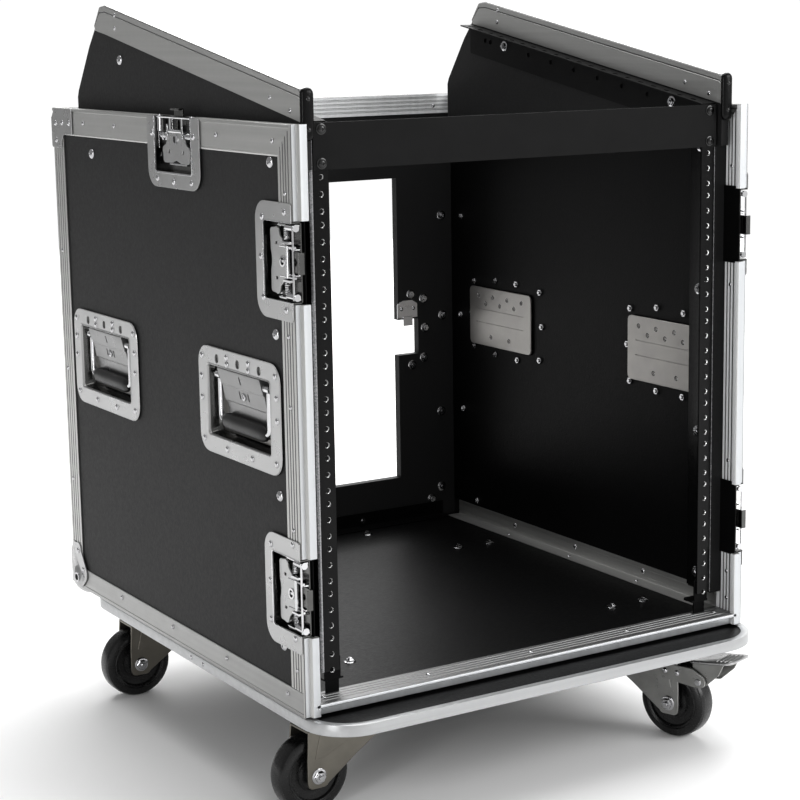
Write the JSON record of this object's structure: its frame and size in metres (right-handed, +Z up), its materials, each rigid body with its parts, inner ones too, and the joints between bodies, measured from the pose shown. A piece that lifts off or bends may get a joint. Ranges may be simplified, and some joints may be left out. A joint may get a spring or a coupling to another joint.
{
  "type": "equipment rack case",
  "caption": "Rolling equipment rack case with rack rails, slanted mixer rails on top, recessed handles and latches, and swivel casters.",
  "frame": {"origin": "centre of the footprint on the ground", "axes": "+X right seen from the open front, +Y towards the back, +Z up"},
  "size_m": [0.558, 0.6334, 0.798],
  "materials": {
    "laminated_plywood": "satin black laminate",
    "aluminium_trim": "satin extruded",
    "black_steel": "satin black",
    "chromed_steel": "bright chrome",
    "black_rubber": "matt",
    "wheel_rubber": "satin",
    "zinc_steel": "zinc plated"
  },
  "bodies": {
    "case": {"rear_panel": "laminated_plywood", "floor_panel": "laminated_plywood", "front_trim_bottom": "aluminium_trim", "top_trim": "aluminium_trim", "bottom_trim": "aluminium_trim", "blank_panel": "black_steel", "caster_board": "laminated_plywood", "caster_board_trim": "aluminium_trim", "side_panel_left": "laminated_plywood", "front_trim_left": "aluminium_trim", "rear_trim_left": "aluminium_trim", "floor_angle_left": "aluminium_trim", "slant_panel_left": "laminated_plywood", "slant_cap_left": "aluminium_trim", "mixer_rail_left": "black_steel", "rack_rail_left": "black_steel", "handle_tray_front_left": "chromed_steel", "handle_tray_rear_left": "chromed_steel", "latch_tray_upper_left": "chromed_steel", "latch_tray_lower_left": "chromed_steel", "latch_tray_top_left": "chromed_steel", "side_panel_right": "laminated_plywood", "front_trim_right": "aluminium_trim", "rear_trim_right": "aluminium_trim", "floor_angle_right": "aluminium_trim", "slant_panel_right": "laminated_plywood", "slant_cap_right": "aluminium_trim", "mixer_rail_right": "black_steel", "rack_rail_right": "black_steel", "handle_tray_front_right": "chromed_steel", "handle_tray_rear_right": "chromed_steel", "latch_tray_upper_right": "chromed_steel", "latch_tray_lower_right": "chromed_steel", "latch_tray_top_right": "chromed_steel"},
    "handle_bail_front_left": {"handle_bail_front_left": "black_rubber"},
    "handle_bail_rear_left": {"handle_bail_rear_left": "black_rubber"},
    "handle_bail_front_right": {"handle_bail_front_right": "black_rubber"},
    "handle_bail_rear_right": {"handle_bail_rear_right": "black_rubber"},
    "latch_wing_upper_left": {"latch_wing_upper_left": "chromed_steel"},
    "latch_hook_upper_left": {"latch_hook_upper_left": "chromed_steel"},
    "latch_wing_lower_left": {"latch_wing_lower_left": "chromed_steel"},
    "latch_hook_lower_left": {"latch_hook_lower_left": "chromed_steel"},
    "latch_wing_top_left": {"latch_wing_top_left": "chromed_steel"},
    "latch_hook_top_left": {"latch_hook_top_left": "chromed_steel"},
    "latch_wing_upper_right": {"latch_wing_upper_right": "chromed_steel"},
    "latch_hook_upper_right": {"latch_hook_upper_right": "chromed_steel"},
    "latch_wing_lower_right": {"latch_wing_lower_right": "chromed_steel"},
    "latch_hook_lower_right": {"latch_hook_lower_right": "chromed_steel"},
    "latch_wing_top_right": {"latch_wing_top_right": "chromed_steel"},
    "latch_hook_top_right": {"latch_hook_top_right": "chromed_steel"},
    "caster_fork_front_left": {"caster_fork_front_left": "zinc_steel"},
    "caster_wheel_front_left": {"caster_wheel_front_left": "wheel_rubber"},
    "caster_fork_rear_left": {"caster_fork_rear_left": "zinc_steel"},
    "caster_wheel_rear_left": {"caster_wheel_rear_left": "wheel_rubber"},
    "caster_fork_front_right": {"caster_fork_front_right": "zinc_steel"},
    "caster_wheel_front_right": {"caster_wheel_front_right": "wheel_rubber"},
    "brake_pedal_front_right": {"brake_pedal_front_right": "zinc_steel"},
    "caster_fork_rear_right": {"caster_fork_rear_right": "zinc_steel"},
    "caster_wheel_rear_right": {"caster_wheel_rear_right": "wheel_rubber"},
    "brake_pedal_rear_right": {"brake_pedal_rear_right": "zinc_steel"}
  },
  "joints": [
    {"name": "handle_front_left_swing", "type": "hinge", "parent": "case", "child": "handle_bail_front_left", "pos_m": [-0.2666, -0.1418, 0.431], "axis": [0, 1, 0], "range_deg": [0, 90], "stiffness_Nm_per_rad": 0.06, "springref_deg": -11.46},
    {"name": "handle_rear_left_swing", "type": "hinge", "parent": "case", "child": "handle_bail_rear_left", "pos_m": [-0.2666, 0.1837, 0.431], "axis": [0, 1, 0], "range_deg": [0, 90], "stiffness_Nm_per_rad": 0.06, "springref_deg": -11.46},
    {"name": "handle_front_right_swing", "type": "hinge", "parent": "case", "child": "handle_bail_front_right", "pos_m": [0.2666, -0.1418, 0.431], "axis": [0, -1, 0], "range_deg": [0, 90], "stiffness_Nm_per_rad": 0.06, "springref_deg": -11.46},
    {"name": "handle_rear_right_swing", "type": "hinge", "parent": "case", "child": "handle_bail_rear_right", "pos_m": [0.2666, 0.1837, 0.431], "axis": [0, -1, 0], "range_deg": [0, 90], "stiffness_Nm_per_rad": 0.06, "springref_deg": -11.46},
    {"name": "latch_upper_left_wing", "type": "hinge", "parent": "case", "child": "latch_wing_upper_left", "pos_m": [-0.27, -0.2438, 0.5585], "axis": [0, 0, 1], "range_deg": [0, 95]},
    {"name": "latch_upper_left_hook", "type": "slide", "parent": "case", "child": "latch_hook_upper_left", "axis": [0, -1, 0], "range_m": [0, 0.004]},
    {"name": "latch_lower_left_wing", "type": "hinge", "parent": "case", "child": "latch_wing_lower_left", "pos_m": [-0.27, -0.2438, 0.2395], "axis": [0, 0, 1], "range_deg": [0, 95]},
    {"name": "latch_lower_left_hook", "type": "slide", "parent": "case", "child": "latch_hook_lower_left", "axis": [0, -1, 0], "range_m": [0, 0.004]},
    {"name": "latch_top_left_wing", "type": "hinge", "parent": "case", "child": "latch_wing_top_left", "pos_m": [-0.27, -0.0128, 0.6695], "axis": [0, 1, 0], "range_deg": [0, 95]},
    {"name": "latch_top_left_hook", "type": "slide", "parent": "case", "child": "latch_hook_top_left", "axis": [0, 0, 1], "range_m": [0, 0.004]},
    {"name": "latch_upper_right_wing", "type": "hinge", "parent": "case", "child": "latch_wing_upper_right", "pos_m": [0.27, -0.2438, 0.5585], "axis": [0, 0, -1], "range_deg": [0, 95]},
    {"name": "latch_upper_right_hook", "type": "slide", "parent": "case", "child": "latch_hook_upper_right", "axis": [0, -1, 0], "range_m": [0, 0.004]},
    {"name": "latch_lower_right_wing", "type": "hinge", "parent": "case", "child": "latch_wing_lower_right", "pos_m": [0.27, -0.2438, 0.2395], "axis": [0, 0, -1], "range_deg": [0, 95]},
    {"name": "latch_lower_right_hook", "type": "slide", "parent": "case", "child": "latch_hook_lower_right", "axis": [0, -1, 0], "range_m": [0, 0.004]},
    {"name": "latch_top_right_wing", "type": "hinge", "parent": "case", "child": "latch_wing_top_right", "pos_m": [0.27, -0.0128, 0.6695], "axis": [0, -1, 0], "range_deg": [0, 95]},
    {"name": "latch_top_right_hook", "type": "slide", "parent": "case", "child": "latch_hook_top_right", "axis": [0, 0, 1], "range_m": [0, 0.004]},
    {"name": "caster_front_left_swivel", "type": "hinge", "parent": "case", "child": "caster_fork_front_left", "pos_m": [-0.19, -0.1923, 0.0968], "axis": [0, 0, 1], "continuous": true},
    {"name": "caster_front_left_roll", "type": "hinge", "parent": "caster_fork_front_left", "child": "caster_wheel_front_left", "pos_m": [-0.23494, -0.19466, 0.04], "axis": [0.0523, -0.9986, 0], "continuous": true},
    {"name": "caster_rear_left_swivel", "type": "hinge", "parent": "case", "child": "caster_fork_rear_left", "pos_m": [-0.19, 0.2277, 0.0968], "axis": [0, 0, 1], "continuous": true},
    {"name": "caster_rear_left_roll", "type": "hinge", "parent": "caster_fork_rear_left", "child": "caster_wheel_rear_left", "pos_m": [-0.235, 0.2277, 0.04], "axis": [0, -1, 0], "continuous": true},
    {"name": "caster_front_right_swivel", "type": "hinge", "parent": "case", "child": "caster_fork_front_right", "pos_m": [0.19, -0.1923, 0.0968], "axis": [0, 0, 1], "continuous": true},
    {"name": "caster_front_right_roll", "type": "hinge", "parent": "caster_fork_front_right", "child": "caster_wheel_front_right", "pos_m": [0.20391, -0.2351, 0.04], "axis": [0.9511, 0.309, 0], "continuous": true},
    {"name": "caster_front_right_brake", "type": "hinge", "parent": "caster_fork_front_right", "child": "brake_pedal_front_right", "pos_m": [0.21596, -0.27219, 0.072], "axis": [0.9511, 0.309, 0], "range_deg": [0, 12]},
    {"name": "caster_rear_right_swivel", "type": "hinge", "parent": "case", "child": "caster_fork_rear_right", "pos_m": [0.19, 0.2277, 0.0968], "axis": [0, 0, 1], "continuous": true},
    {"name": "caster_rear_right_roll", "type": "hinge", "parent": "caster_fork_rear_right", "child": "caster_wheel_rear_right", "pos_m": [0.14771, 0.24309, 0.04], "axis": [-0.342, -0.9397, 0], "continuous": true},
    {"name": "caster_rear_right_brake", "type": "hinge", "parent": "caster_fork_rear_right", "child": "brake_pedal_rear_right", "pos_m": [0.11107, 0.25643, 0.072], "axis": [-0.342, -0.9397, 0], "range_deg": [0, 12]}
  ],
  "couplings": [
    {"joint": "latch_upper_left_hook", "follows": "latch_upper_left_wing", "m_per_rad": 0.002352},
    {"joint": "latch_lower_left_hook", "follows": "latch_lower_left_wing", "m_per_rad": 0.002352},
    {"joint": "latch_top_left_hook", "follows": "latch_top_left_wing", "m_per_rad": 0.002352},
    {"joint": "latch_upper_right_hook", "follows": "latch_upper_right_wing", "m_per_rad": 0.002352},
    {"joint": "latch_lower_right_hook", "follows": "latch_lower_right_wing", "m_per_rad": 0.002352},
    {"joint": "latch_top_right_hook", "follows": "latch_top_right_wing", "m_per_rad": 0.002352}
  ]
}
